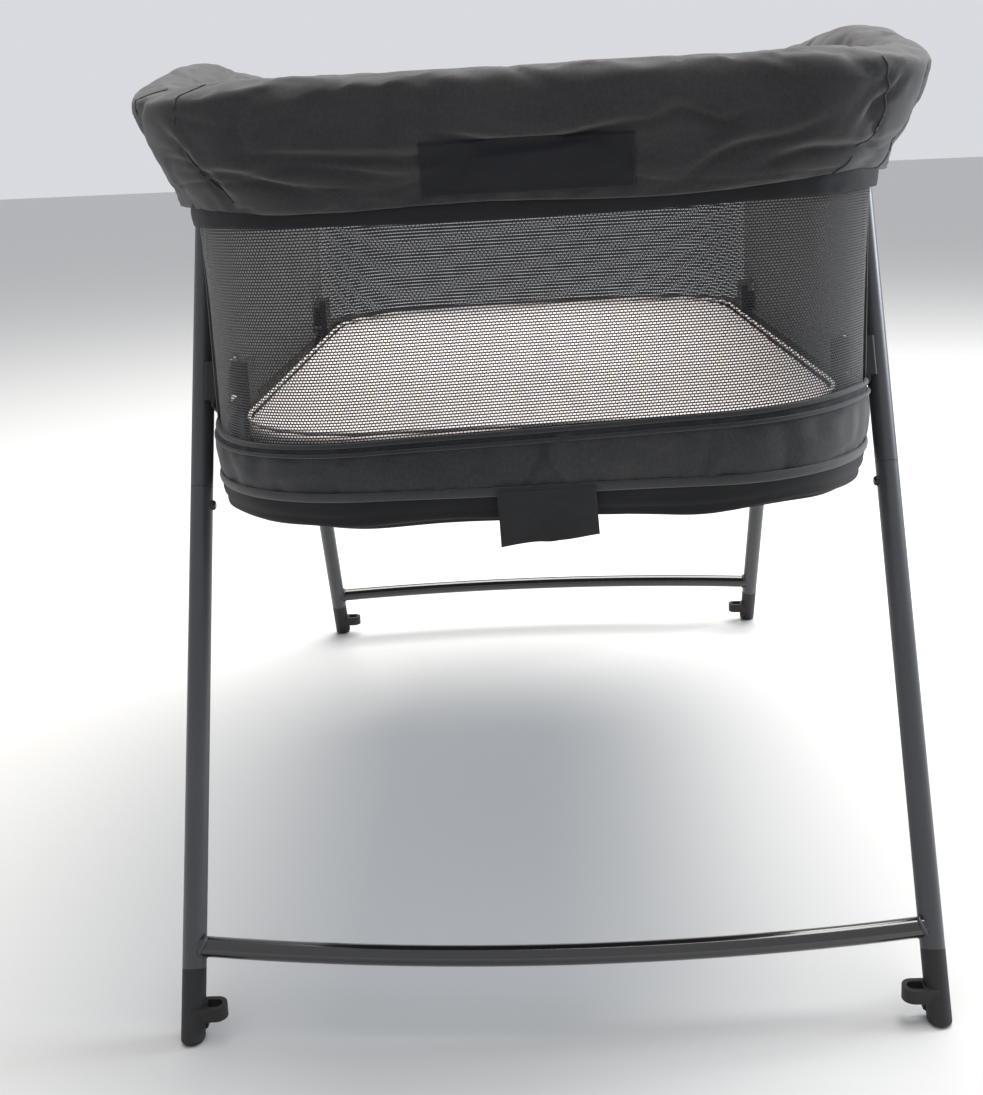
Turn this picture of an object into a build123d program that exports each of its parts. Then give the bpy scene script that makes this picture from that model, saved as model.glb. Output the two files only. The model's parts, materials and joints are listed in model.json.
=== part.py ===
from build123d import *
import math
import os

# Bassinet on a folding stand. Millimetres, +Z up, long side along Y, short side along X.
# The origin is on the floor, under the middle of the basket.
# "near" is the end at -Y, "far" the end at +Y, "left" is -X and "right" is +X.

# Stand
LEG_X = 290.0              # half distance between the left and right leg axes
FOOT_Y = 464.0             # where a leg axis meets the floor
LEG_SLOPE = 0.465          # how far a leg leans inward per millimetre of height
TUBE_R = 9.5               # outside radius of the leg tubes
TUBE_BORE_R = 8.0
SEAM_Z = 400.0             # where the lower leg plugs into the upper leg
SEAM_GAP = 0.4
SPIGOT_R = 7.7
SPIGOT_BORE_R = 6.2
SPIGOT_DOWN = 60.0         # spigot held in the lower leg
SPIGOT_UP = 100.0          # spigot that slides in the upper leg
CAP_Z = 49.0               # top of the foot cap
CROSSBAR_Z = 64.0
CROSSBAR_R = 8.0
CROSSBAR_BORE_R = 6.6
CROSSBAR_BOW = 26.0        # the crossbar bows outward by this much at its middle

# Leg pivot
PIVOT_Z = 700.0
PIN_R = 4.0
PIN_CLEARANCE = 0.05
PIN_HEAD_R = 7.0
LEG_ABOVE_PIVOT = 14.0

# Release button, on the inner face of the lower leg just below the seam
BUTTON_BELOW_SEAM = 14.0
BUTTON_R = 4.2
BUTTON_CLEARANCE = 0.4
BUTTON_PROUD = 2.8
BUTTON_FLANGE_R = 5.1

# Rim of the basket: two U-shaped rails that slope down to the ends
RIM_R = 8.0
RIM_BORE_R = 6.8
RIM_X = 262.0
RIM_Y = 416.0
RIM_Z = 735.0
RIM_CORNER_R = 100.0
RIM_SLOPE_DEG = 4.1
RIM_GAP_Y = 25.0           # each rail stops this far from the middle

# Fabric walls
WALL_X = 265.0             # outside of the side walls
WALL_Y = 420.0             # outside of the end panels
WALL_T = 3.0
WALL_TOP_CORNER_R = 100.0
WALL_TOP_Z = 683.0
WALL_SPLIT_Y = 300.0       # the mesh wraps the corners as far as this

# Base
BASE_CORNER_R = 140.0      # outside of the band
BAND_X = 268.0
BAND_Y = 424.0
BAND_T = 12.0
BAND_Z0 = 422.0
BAND_Z1 = 470.0
COVER_X = 262.0
COVER_Y = 419.0
COVER_Z0 = 398.0
RING_X = 241.0
RING_Y = 398.0
RING_R = 6.0
RING_Z = 434.0
RING_CORNER_R = 122.0
BOARD_X = 246.0
BOARD_Y = 404.0
BOARD_Z0 = 440.0
BOARD_T = 4.0
BOARD_CORNER_R = 125.0
MATTRESS_X = 246.0
MATTRESS_Y = 402.0
MATTRESS_Z0 = 444.3
MATTRESS_Z1 = 472.0
MATTRESS_COVER_T = 1.5
MATTRESS_CORNER_R = 125.0

# Hooks that the legs rest against
HOOK_Z = 486.0
HOOK_ABOVE = 14.0          # how far the hook reaches along the leg, each way
HOOK_BELOW = 28.0
HOOK_ARM_HALF = 12.0
HOOK_GAP = 1.2             # from the leg tube to the hook
HOOK_PLATE_X = 254.0       # outer face of the hook's plate
SCREW_X = 236.0            # inner tips of the hook screws
SCREW_R = 2.0
SCREW_HEAD_R = 3.5

# Collar
COLLAR_T = 4.0
COLLAR_Z0 = 625.0
COLLAR_Z1 = 715.0
COLLAR_Z2 = 757.0
COLLAR_INNER_X = 252.0
COLLAR_INNER_Y = 407.0
COLLAR_INNER_Z0 = 672.0
COLLAR_END_Z = 729.0       # top of the collar at the two ends
COLLAR_SPLIT_Y = 335.0

LEAN = math.atan(LEG_SLOPE)
SIDES = {"left": -1, "right": 1}
ENDS = {"near": -1, "far": 1}
BOTTOM = (Align.CENTER, Align.CENTER, Align.MIN)

# The right near leg axis: local z runs up the leg, local x is +X, local y points inward.
LEG_PLANE = Plane(origin=(LEG_X, -FOOT_Y, 0), x_dir=(1, 0, 0),
                  z_dir=(0, math.sin(LEAN), math.cos(LEAN)))


def along(height):
    """Distance up the leg axis of a point at this height."""
    return height / math.cos(LEAN)


def leg_y(height):
    """How far from the middle the leg axis is at this height."""
    return FOOT_Y - LEG_SLOPE * height


def at_corner(shape, side, end):
    """A right near piece, mirrored to another corner."""
    if SIDES[side] < 0:
        shape = mirror(shape, about=Plane.YZ)
    if ENDS[end] > 0:
        shape = mirror(shape, about=Plane.XZ)
    return shape


def on_leg(radius, start, stop):
    """A cylinder on the right near leg axis between two distances up it."""
    return LEG_PLANE * (Pos(0, 0, start) * Cylinder(radius, stop - start, align=BOTTOM))


def across(radius, x0, x1, y, z):
    """A cylinder along X."""
    return Pos(x0, y, z) * (Rot(0, 90, 0) * Cylinder(radius, x1 - x0, align=BOTTOM))


def box(x0, x1, y0, y1, z0, z1):
    """A box from its limits."""
    centre = Pos((x0 + x1) / 2, (y0 + y1) / 2, (z0 + z1) / 2)
    return centre * Box(x1 - x0, y1 - y0, z1 - z0)


def slab(half_x, half_y, corner, z0, z1):
    """A rounded rectangle plate."""
    return Pos(0, 0, z0) * extrude(RectangleRounded(2 * half_x, 2 * half_y, corner), z1 - z0)


def frame_ring(half_x, half_y, corner, thickness, z0, z1):
    """A rounded rectangular wall; half_x and half_y are its outside."""
    inside = slab(half_x - thickness, half_y - thickness, corner - thickness, z0 - 1, z1 + 1)
    return slab(half_x, half_y, corner, z0, z1) - inside


# ---- stand ----

def upper_leg():
    top = along(PIVOT_Z) + LEG_ABOVE_PIVOT
    tube = on_leg(TUBE_R, along(SEAM_Z) + SEAM_GAP, top) - on_leg(TUBE_BORE_R, 0, top + 1)
    hole = across(PIN_R + PIN_CLEARANCE, LEG_X - 20, LEG_X + 20, -leg_y(PIVOT_Z), PIVOT_Z)
    return tube - hole


def leg_top_plug():
    top = along(PIVOT_Z) + LEG_ABOVE_PIVOT
    plug = on_leg(TUBE_R, top, top + 4)
    plug = fillet(plug.edges().sort_by(Axis(LEG_PLANE.origin, LEG_PLANE.z_dir))[-1:], 2.5)
    return plug + on_leg(TUBE_BORE_R, top - 8, top)


def button_hole():
    height = SEAM_Z - BUTTON_BELOW_SEAM
    return across(BUTTON_R + BUTTON_CLEARANCE, LEG_X - 20, LEG_X - 3, -leg_y(height), height)


def lower_leg():
    tube = on_leg(TUBE_R, along(CAP_Z), along(SEAM_Z)) - on_leg(TUBE_BORE_R, 0, along(SEAM_Z) + 1)
    return tube - button_hole()


def leg_spigot():
    seam = along(SEAM_Z)
    spigot = on_leg(TUBE_BORE_R, seam - SPIGOT_DOWN, seam) + on_leg(SPIGOT_R, seam, seam + SPIGOT_UP)
    spigot -= on_leg(SPIGOT_BORE_R, seam - SPIGOT_DOWN - 1, seam + SPIGOT_UP + 1)
    return spigot - button_hole()


def release_button():
    height = SEAM_Z - BUTTON_BELOW_SEAM
    y = -leg_y(height)
    tip = LEG_X - TUBE_R - BUTTON_PROUD
    shank = across(BUTTON_R, tip, LEG_X - 3, y, height)
    shank = fillet(shank.edges().sort_by(Axis.X)[:1], 2.4)
    return shank + across(BUTTON_FLANGE_R, LEG_X - 3, LEG_X - 1.5, y, height)


def foot_cap():
    """A cap flush with the tube, with a D-shaped loop on its inner side."""
    shoe = on_leg(TUBE_R, -12, along(CAP_Z)) - box(LEG_X - 30, LEG_X + 30, -520, -400, -40, 0)
    shoe = fillet(shoe.edges().sort_by(Axis.Z)[:1], 2.5)
    shoe += on_leg(TUBE_BORE_R, along(CAP_Z), along(CAP_Z) + 22)
    y = -leg_y(20)
    loop_x = LEG_X - 18
    loop = Pos(loop_x, y, 15) * Cylinder(9, 11, align=BOTTOM) + box(loop_x, LEG_X, y - 9, y + 9, 15, 26)
    with BuildSketch(Plane.XZ) as web_profile:
        Polygon((LEG_X - 6, 3), (LEG_X - 14, 9), (LEG_X - 22, 15), (LEG_X - 22, 17), (LEG_X - 6, 17),
                align=None)
    web = Pos(0, y + 3, 0) * extrude(web_profile.sketch, 6)
    slot = Pos(loop_x, y, 0) * Cylinder(5, 60) + box(loop_x, LEG_X - 11, y - 5, y + 5, -30, 30)
    lug = loop + web
    lug -= slot
    return shoe + (lug - on_leg(TUBE_R - 1, -30, 90))


def crossbar():
    """The near crossbar: an arc between the two lower legs, bowed outward."""
    y = -leg_y(CROSSBAR_Z)
    path = ThreePointArc((-LEG_X, y, CROSSBAR_Z), (0, y - CROSSBAR_BOW, CROSSBAR_Z), (LEG_X, y, CROSSBAR_Z))
    start = Plane(origin=path @ 0, z_dir=path % 0)
    bar = sweep(start * Circle(CROSSBAR_R), path) - sweep(start * Circle(CROSSBAR_BORE_R), path)
    leg = on_leg(TUBE_R, 0, 200)
    return bar - leg - mirror(leg, about=Plane.YZ)


# ---- rim ----

def rim_path(radius):
    """The near rim rail as a solid of this radius."""
    slope = math.radians(RIM_SLOPE_DEG)
    plane = Plane(origin=(0, 0, RIM_Z), x_dir=(1, 0, 0), z_dir=(0, -math.sin(slope), math.cos(slope)))
    length = RIM_Y / math.cos(slope)
    with BuildPart() as rail:
        with BuildLine(plane) as line:
            FilletPolyline((RIM_X, -RIM_GAP_Y), (RIM_X, -length), (-RIM_X, -length),
                           (-RIM_X, -RIM_GAP_Y), radius=RIM_CORNER_R)
        with BuildSketch(Plane(origin=line.line @ 0, z_dir=line.line % 0)):
            Circle(radius)
        sweep()
    return rail.part


def rim_rail():
    return rim_path(RIM_R) - rim_path(RIM_BORE_R)


def rim_joint():
    """The right moulded joint that both rails plug into."""
    block = box(RIM_X - 10, RIM_X + 12, -46, 46, RIM_Z - 15, RIM_Z + 12)
    block = fillet(block.edges().filter_by(Axis.Y), 6)
    rail = rim_path(RIM_R)
    return block - rail - mirror(rail, about=Plane.XZ)


def leg_pivot_bracket():
    """The right near bracket: clamps the rim rail and carries the leg's pivot pin."""
    y = -leg_y(PIVOT_Z)
    block = box(RIM_X - 10, LEG_X - TUBE_R - 0.9, y - 20, y + 20, PIVOT_Z - 16, PIVOT_Z + 37)
    block = fillet(block.edges().filter_by(Axis.X), 6)
    return block - rim_path(RIM_R) - across(PIN_R, RIM_X, LEG_X, y, PIVOT_Z)


def pivot_pin():
    y = -leg_y(PIVOT_Z)
    face = LEG_X + TUBE_R + 0.4
    return across(PIN_R, RIM_X, face, y, PIVOT_Z) + across(PIN_HEAD_R, face, face + 2.2, y, PIVOT_Z)


# ---- base ----

def base_ring():
    """The base frame: a closed tube bent to a rounded rectangle."""
    outline = RectangleRounded(2 * RING_X, 2 * RING_Y, RING_CORNER_R)
    path = (Plane.XY.offset(RING_Z) * outline).wire()
    start = Plane(origin=path @ 0, z_dir=path % 0)
    ring = sweep(start * Circle(RING_R), path)
    return ring - Compound(screw_line(SCREW_R, SCREW_X, HOOK_PLATE_X))


def base_cross_tube(y):
    reach = RING_X - RING_R
    return across(RING_R, -reach, reach, y, RING_Z) - across(RING_R - 1.2, -reach, reach, y, RING_Z)


def base_board():
    return slab(BOARD_X, BOARD_Y, BOARD_CORNER_R, BOARD_Z0, BOARD_Z0 + BOARD_T)


def base_hook():
    """The right near hook: a plate on the base ring, an arm through the wall, and a lip on the leg."""
    y = -leg_y(HOOK_Z)
    plate = box(247, HOOK_PLATE_X, y - 18, y + 18, 424, 504)
    plate = fillet(plate.edges().filter_by(Axis.X), 5)
    middle = along(HOOK_Z)
    face = -TUBE_R - HOOK_GAP
    arm = box(-38, face, -16.5, 8, middle - HOOK_ARM_HALF, middle + HOOK_ARM_HALF)
    top, foot = middle + HOOK_ABOVE, middle - HOOK_BELOW
    wedge = Polygon((face, top), (face - 5, top - 3), (face - 6, middle - 4), (face - 2, foot), (face, foot),
                    align=None)
    cheek = Pos(0, 8, 0) * extrude(Plane.XZ * wedge, 24.5)
    lip = box(face, -4.5, -16.5, -TUBE_R - 0.5, foot + 6, top - 2)
    lip = fillet(lip.edges().filter_by(Axis.Z).sort_by(Axis.X)[-2:], 2.5)
    return plate + LEG_PLANE * (arm + cheek + lip) - Compound(screw_line(SCREW_R, SCREW_X, HOOK_PLATE_X))


def screw_line(radius, start, stop):
    """Cylinders at every hook screw, two through each hook plate, between two distances out."""
    cylinders = []
    for side in (-1, 1):
        for end in (-1, 1):
            for offset in (-10, 10):
                x0, x1 = sorted((side * start, side * stop))
                cylinders.append(across(radius, x0, x1, end * leg_y(HOOK_Z) + offset, RING_Z))
    return cylinders


def hook_screws():
    shanks = screw_line(SCREW_R, SCREW_X, HOOK_PLATE_X)
    heads = screw_line(SCREW_HEAD_R, HOOK_PLATE_X, HOOK_PLATE_X + 1.7)
    return Compound([shank + head for shank, head in zip(shanks, heads)])


def base_cover():
    corner = BASE_CORNER_R - 6
    tray = slab(COVER_X, COVER_Y, corner, COVER_Z0, BAND_Z0)
    return tray - slab(COVER_X - 3, COVER_Y - 3, corner - 3, COVER_Z0 + 3, BAND_Z0 + 1)


def base_band():
    return frame_ring(BAND_X, BAND_Y, BASE_CORNER_R, BAND_T, BAND_Z0, BAND_Z1)


def band_piping():
    """The two cords sewn round the top of the band."""
    cords = []
    for drop in (4, 12):
        z0 = BAND_Z1 - drop
        cords.append(frame_ring(BAND_X + 3, BAND_Y + 3, BASE_CORNER_R + 3, 3, z0, z0 + 3))
    return Compound(cords)


def band_binding():
    return frame_ring(BAND_X + 2, BAND_Y + 2, BASE_CORNER_R + 2, 2, BAND_Z0, BAND_Z0 + 7)


def pull_tab():
    return box(-36, 40, -BAND_Y - 5, -BAND_Y - 2, 385, 426)


# ---- walls and collar ----

def wall_body(inset, above):
    """The space inside the walls: its corners are tighter at the top than at the base."""
    levels = []
    for z, corner in ((BAND_Z1, BASE_CORNER_R - 3), (WALL_TOP_Z, WALL_TOP_CORNER_R)):
        outline = RectangleRounded(2 * (WALL_X - inset), 2 * (WALL_Y - inset), corner - inset)
        levels.append(Plane.XY.offset(z) * outline)
    body = loft(levels, ruled=True)
    if above:
        body += extrude(levels[0], -above) + extrude(levels[1], above)
    return body


def wall_ring():
    ring = wall_body(0, 0) - wall_body(WALL_T, 1)
    for side in (-1, 1):
        for end in (-1, 1):
            y = end * leg_y(HOOK_Z)
            x0, x1 = sorted((side * 240, side * 280))
            ring -= box(x0, x1, y - 30, y + 30, BAND_Z1 - 5, HOOK_Z + 26)
    return ring


def mesh_panel(ring, end):
    y0, y1 = sorted((ENDS[end] * WALL_SPLIT_Y, ENDS[end] * 600))
    return ring & box(-400, 400, y0, y1, 0, 900)


def side_wall(ring, side):
    x0, x1 = sorted((0, SIDES[side] * 400))
    return ring & box(x0, x1, -WALL_SPLIT_Y, WALL_SPLIT_Y, 0, 900)


def collar_outline(height, side_x, corner, end, inset):
    """One level of the collar: the side, the start of the corner and the end."""
    corner_x, corner_y = corner
    end_x, end_y = end
    quarter = [(side_x - inset, 200), (corner_x - inset, corner_y), (end_x, end_y - inset)]
    points = quarter + [(-x, y) for x, y in reversed(quarter)]
    points += [(-x, -y) for x, y in quarter] + [(x, -y) for x, y in reversed(quarter)]
    return Plane.XY.offset(height) * Polygon(*points, align=None)


def collar_body(inset, bottom, crown_drop):
    """The flared collar as a solid, and cut to its saddle-shaped top."""
    levels = [
        collar_outline(bottom, 305.5, (286, 352), (216, 430), inset),
        collar_outline(COLLAR_Z1, 308.5, (304, 330), (215, 444), inset),
        collar_outline(COLLAR_Z2 - crown_drop, 294, (290, 322), (205, 432), inset),
    ]
    body = loft(levels, ruled=True)
    top = COLLAR_Z2 - crown_drop
    low = COLLAR_END_Z - crown_drop
    with BuildSketch(Plane.YZ) as saddle:
        Polygon((-500, 500), (500, 500), (500, low), (420, low), (220, top), (-220, top), (-420, low),
                (-500, low), align=None)
    return body & (Pos(-400, 0, 0) * extrude(saddle.sketch, 800))


def collar():
    outer = collar_body(0, COLLAR_Z0, 0)
    core = slab(COLLAR_INNER_X, COLLAR_INNER_Y, 92, COLLAR_INNER_Z0, COLLAR_Z2 + 20)
    cavity = collar_body(COLLAR_T, COLLAR_Z0 - 0.01, COLLAR_T)
    hole_x = COLLAR_INNER_X - COLLAR_T
    hole_y = COLLAR_INNER_Y - COLLAR_T
    hole = slab(hole_x, hole_y, 88, COLLAR_Z0 - 5, COLLAR_Z2 + 30)
    return outer - (cavity - core) - hole


def collar_end(ring, end):
    y0, y1 = sorted((ENDS[end] * COLLAR_SPLIT_Y, ENDS[end] * 600))
    return ring & box(-400, 400, y0, y1, 500, 900)


def collar_side(ring, side):
    x0, x1 = sorted((0, SIDES[side] * 400))
    return ring & box(x0, x1, -COLLAR_SPLIT_Y, COLLAR_SPLIT_Y, 500, 900)


def collar_patch():
    """A plain sewn patch on the near face of the collar."""
    flare = math.degrees(math.atan2(14, COLLAR_Z1 - COLLAR_Z0))
    return Pos(-3, -434.6, 646) * (Rot(flare, 0, 0) * Box(150, 1.4, 38))


# ---- mattress ----

def mattress_core():
    t = MATTRESS_COVER_T
    return slab(MATTRESS_X - t, MATTRESS_Y - t, MATTRESS_CORNER_R - t, MATTRESS_Z0 + t, MATTRESS_Z1 - t)


def mattress_cover():
    return slab(MATTRESS_X, MATTRESS_Y, MATTRESS_CORNER_R, MATTRESS_Z0, MATTRESS_Z1) - mattress_core()


def corner_parts():
    """Every piece that there is one of at each leg."""
    makers = {"upper_leg": upper_leg(), "lower_leg": lower_leg(), "leg_spigot": leg_spigot(),
              "foot_cap": foot_cap(), "release_button": release_button(),
              "leg_pivot_bracket": leg_pivot_bracket(), "base_hook": base_hook()}
    parts = {}
    for name, shape in makers.items():
        for end in ENDS:
            for side in SIDES:
                parts[f"{name}_{end}_{side}"] = at_corner(shape, side, end)
    return parts


def end_parts():
    """Every piece that there is one of at each end."""
    walls = wall_ring()
    ring = collar()
    plug = leg_top_plug()
    parts = {}
    for end in ENDS:
        parts[f"rim_rail_{end}"] = at_corner(rim_rail(), "right", end)
        parts[f"crossbar_{end}"] = at_corner(crossbar(), "right", end)
        parts[f"leg_top_plugs_{end}"] = Compound([at_corner(plug, side, end) for side in SIDES])
        parts[f"mesh_panel_{end}"] = mesh_panel(walls, end)
        parts[f"collar_{end}"] = collar_end(ring, end)
    for side in SIDES:
        parts[f"rim_joint_{side}"] = at_corner(rim_joint(), side, "near")
        parts[f"side_wall_{side}"] = side_wall(walls, side)
        parts[f"collar_{side}"] = collar_side(ring, side)
    return parts


def single_parts():
    pins = [at_corner(pivot_pin(), side, end) for side in SIDES for end in ENDS]
    return {
        "pivot_pins": Compound(pins),
        "base_ring": base_ring(),
        "base_cross_tube_near": base_cross_tube(-200),
        "base_cross_tube_middle": base_cross_tube(0),
        "base_cross_tube_far": base_cross_tube(200),
        "base_board": base_board(),
        "hook_screws": hook_screws(),
        "base_cover": base_cover(),
        "base_band": base_band(),
        "band_piping": band_piping(),
        "band_binding": band_binding(),
        "pull_tab": pull_tab(),
        "collar_patch": collar_patch(),
        "mattress_core": mattress_core(),
        "mattress_cover": mattress_cover(),
    }


os.makedirs("parts", exist_ok=True)
for node, shape in {**corner_parts(), **end_parts(), **single_parts()}.items():
    export_step(shape, f"parts/{node}.step")
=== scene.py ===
import json
import math

import bmesh
import bpy
import numpy as np
from mathutils import Matrix, Vector, noise
from mathutils.bvhtree import BVHTree


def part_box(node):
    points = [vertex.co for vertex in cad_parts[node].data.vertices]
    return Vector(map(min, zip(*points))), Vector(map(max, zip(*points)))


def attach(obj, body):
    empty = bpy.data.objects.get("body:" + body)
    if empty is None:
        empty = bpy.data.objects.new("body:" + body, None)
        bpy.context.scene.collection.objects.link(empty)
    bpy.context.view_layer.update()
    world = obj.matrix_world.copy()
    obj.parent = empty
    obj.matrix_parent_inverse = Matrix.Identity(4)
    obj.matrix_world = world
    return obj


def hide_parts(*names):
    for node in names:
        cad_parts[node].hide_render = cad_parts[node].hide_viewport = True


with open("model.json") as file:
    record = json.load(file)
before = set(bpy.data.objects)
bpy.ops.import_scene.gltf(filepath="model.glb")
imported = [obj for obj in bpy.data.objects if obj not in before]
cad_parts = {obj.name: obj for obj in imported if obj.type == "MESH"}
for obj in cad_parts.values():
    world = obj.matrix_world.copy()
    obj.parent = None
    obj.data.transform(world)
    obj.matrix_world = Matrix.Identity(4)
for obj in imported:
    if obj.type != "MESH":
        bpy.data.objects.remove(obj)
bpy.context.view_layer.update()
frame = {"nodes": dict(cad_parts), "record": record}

MM = 0.001


# ---- places, all from the frame ----

def limits(*nodes):
    """The lowest and highest corners of several CAD nodes together."""
    boxes = [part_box(node) for node in nodes]
    low = Vector([min(b[0][i] for b in boxes) for i in range(3)])
    high = Vector([max(b[1][i] for b in boxes) for i in range(3)])
    return low, high


COLLAR_LOW, COLLAR_HIGH = limits("collar_near", "collar_far", "collar_left", "collar_right")
WALL_HIGH = limits("mesh_panel_near", "mesh_panel_far")[1]
BAND_LOW, BAND_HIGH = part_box("base_band")
COVER_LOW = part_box("base_cover")[0]
MATTRESS_LOW, MATTRESS_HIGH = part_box("mattress_cover")
TAB_LOW, TAB_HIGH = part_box("pull_tab")
PATCH_LOW, PATCH_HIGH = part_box("collar_patch")
HOOK_LOW, HOOK_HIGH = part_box("base_hook_far_right")
HOOK_Y = (HOOK_LOW.y + HOOK_HIGH.y) / 2     # the four hooks stand at this distance from the middle
SPLIT_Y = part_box("side_wall_right")[1].y    # where the side walls end and the mesh begins

ENDS = {"near": -1, "far": 1}
SIDES = {"left": -1, "right": 1}
WALL_TOP_CORNER = 0.100     # corner radii in plan
BASE_CORNER = 0.140
LIST = 0.012                # the soft goods hang a little higher on the right, per metre across
TWIST = 0.034               # the band's top seam hangs over further than that at the near end
TWIST_FULL_Y, TWIST_NONE_Y = -0.38, -0.25


# ---- grids ----

# Columns of a rounded outline: half of an end, one corner, half of a side
N_END, N_CORNER, N_HALF = 36, 30, 64
QUARTER = N_END + N_CORNER + N_HALF


def smooth(low, high, value):
    """0 below low, 1 above high, and a smooth step between them."""
    t = np.clip((value - low) / (high - low), 0, 1)
    return t * t * (3 - 2 * t)


def rounded(half_x, half_y, corner):
    """A closed rounded rectangle, anticlockwise from the middle of the near end.
    Column by column it matches any other one, whatever their sizes."""
    t = np.arange(N_END) / N_END
    end = np.stack([t * (half_x - corner), np.full(N_END, -half_y)], 1)
    turn = np.arange(N_CORNER) / N_CORNER * math.pi / 2
    bend_x = half_x - corner + corner * np.sin(turn)
    bend_y = -half_y + corner - corner * np.cos(turn)
    bend = np.stack([bend_x, bend_y], 1)
    t = np.arange(N_HALF + 1) / N_HALF
    side = np.stack([np.full(N_HALF + 1, half_x), -(half_y - corner) * (1 - t)], 1)
    quarter = np.concatenate([end, bend, side])
    right = np.concatenate([quarter, quarter[::-1][1:] * (1, -1)])
    return np.concatenate([right, right[::-1][1:-1] * (-1, 1)])


def outward(ring):
    """Unit normals of a closed anticlockwise outline."""
    tangent = np.roll(ring, -1, 0) - np.roll(ring, 1, 0)
    tangent /= np.linalg.norm(tangent, axis=1)[:, None]
    return np.stack([tangent[:, 1], -tangent[:, 0]], 1)


def lengths(points):
    """How far along a line of points each one is."""
    steps = np.linalg.norm(np.diff(points, axis=0), axis=1)
    return np.concatenate([[0], np.cumsum(steps)])


def ripple(points, scale, seed):
    """Smooth noise from -1 to 1 at each point; scale is ripples per metre along x, y and z."""
    flat = points.reshape(-1, 3) * np.array(scale) + seed
    return np.array([noise.noise(Vector(p)) for p in flat]).reshape(points.shape[:-1])


def grid_mesh(name, points, closed, uv):
    """A mesh from rows and columns of points, with its UV map in metres along the cloth."""
    rows, cols = points.shape[:2]
    last = cols if closed else cols - 1
    row, col = np.meshgrid(np.arange(rows - 1), np.arange(last), indexing="ij")
    nxt = (col + 1) % cols
    here, above = row * cols, (row + 1) * cols
    quads = np.stack([here + col, here + nxt, above + nxt, above + col], -1)
    mesh = bpy.data.meshes.new(name)
    mesh.from_pydata(points.reshape(-1, 3).tolist(), [], quads.reshape(-1, 4).tolist())
    flat_uv = uv.reshape(-1, 2) if not closed else uv[:, :cols].reshape(-1, 2)
    layer = mesh.uv_layers.new(name="cloth")
    corner_vertex = np.zeros(len(mesh.loops), int)
    mesh.loops.foreach_get("vertex_index", corner_vertex)
    values = flat_uv[corner_vertex]
    if closed:
        last_column = np.repeat((col == cols - 1).reshape(-1), 4)
        far_corners = np.tile([False, True, True, False], quads.size // 4)
        values[last_column & far_corners, 0] += uv[0, -1, 0]
    layer.data.foreach_set("uv", values.reshape(-1))
    mesh.shade_smooth()
    piece = bpy.data.objects.new(name, mesh)
    bpy.context.scene.collection.objects.link(piece)
    return piece


def cloth_uv(points, closed):
    """UVs in metres: u runs along the middle row, v along each column."""
    middle = points[len(points) // 2]
    if closed:
        middle = np.concatenate([middle, middle[:1]])
    u = lengths(middle)
    steps = np.linalg.norm(np.diff(points, axis=0), axis=2)
    v = np.concatenate([np.zeros((1, points.shape[1])), np.cumsum(steps, axis=0)])
    if closed:
        v = np.concatenate([v, v[:, :1]], 1)
    return np.stack([np.broadcast_to(u, v.shape), v], -1)


def twist_share(points):
    """1 along the band's top seam at the near end.
    It is 0 at the band's foot, at the collar and beyond the near corners."""
    height = points[..., 2]
    rise = smooth(BAND_LOW.z, BAND_HIGH.z, height) * (1 - smooth(BAND_HIGH.z, WALL_HIGH.z, height))
    return rise * (1 - smooth(TWIST_FULL_Y, TWIST_NONE_Y, points[..., 1]))


def cloth_grid(name, points, closed, level=False):
    """A piece of cloth from a grid of points.
    Unless it is level, it follows the slight list and twist of the soft goods."""
    uv = cloth_uv(points, closed)
    if not level:
        points = points.copy()
        points[..., 2] += (LIST + TWIST * twist_share(points)) * points[..., 0]
    return grid_mesh(name, points, closed, uv)


def apply_all(piece):
    """Applies a piece's modifiers to its mesh."""
    bpy.context.view_layer.update()
    graph = bpy.context.evaluated_depsgraph_get()
    mesh = bpy.data.meshes.new_from_object(piece.evaluated_get(graph))
    piece.modifiers.clear()
    piece.data = mesh
    mesh.shade_smooth()


def thicken(piece, thickness, side=-1):
    """Gives a sheet its thickness, on the side its normals leave (1) or inside (-1)."""
    solid = piece.modifiers.new("thickness", "SOLIDIFY")
    solid.thickness = thickness
    solid.offset = side
    solid.use_even_offset = False
    apply_all(piece)


def coordinates(piece):
    co = np.zeros(len(piece.data.vertices) * 3)
    piece.data.vertices.foreach_get("co", co)
    return co.reshape(-1, 3)


CLOTH_FRAMES = 12


def settle(piece, pinned, pressure, slack, cap, stiffness=12):
    """Cloth simulation: the cloth is cut larger by slack, held at its pinned vertices
    and blown out by pressure. No point moves further than cap."""
    before = coordinates(piece)
    group = piece.vertex_groups.new(name="pins")
    group.add(np.flatnonzero(pinned.reshape(-1)).tolist(), 1.0, "REPLACE")
    cloth = piece.modifiers.new("cloth", "CLOTH")
    settings = cloth.settings
    settings.quality = 3
    settings.mass = 0.25
    settings.tension_stiffness = stiffness
    settings.compression_stiffness = stiffness
    settings.shear_stiffness = stiffness / 2
    settings.bending_stiffness = 0.4
    settings.air_damping = 2
    settings.shrink_min = -slack
    settings.use_pressure = pressure != 0
    settings.uniform_pressure_force = pressure
    settings.vertex_group_mass = "pins"
    settings.effector_weights.gravity = 0
    cloth.collision_settings.use_collision = False
    cloth.collision_settings.use_self_collision = False
    cloth.point_cache.frame_start = 1
    cloth.point_cache.frame_end = CLOTH_FRAMES
    scene = bpy.context.scene
    for number in range(1, CLOTH_FRAMES + 1):
        scene.frame_set(number)
    apply_all(piece)
    scene.frame_set(1)
    move = coordinates(piece) - before
    far = np.linalg.norm(move, axis=1)
    scale = np.where(far > 1e-9, cap * np.tanh(far / cap) / np.maximum(far, 1e-9), 0)
    piece.data.vertices.foreach_set("co", (before + move * scale[:, None]).reshape(-1))
    piece.vertex_groups.clear()
    piece.data.update()


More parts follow.
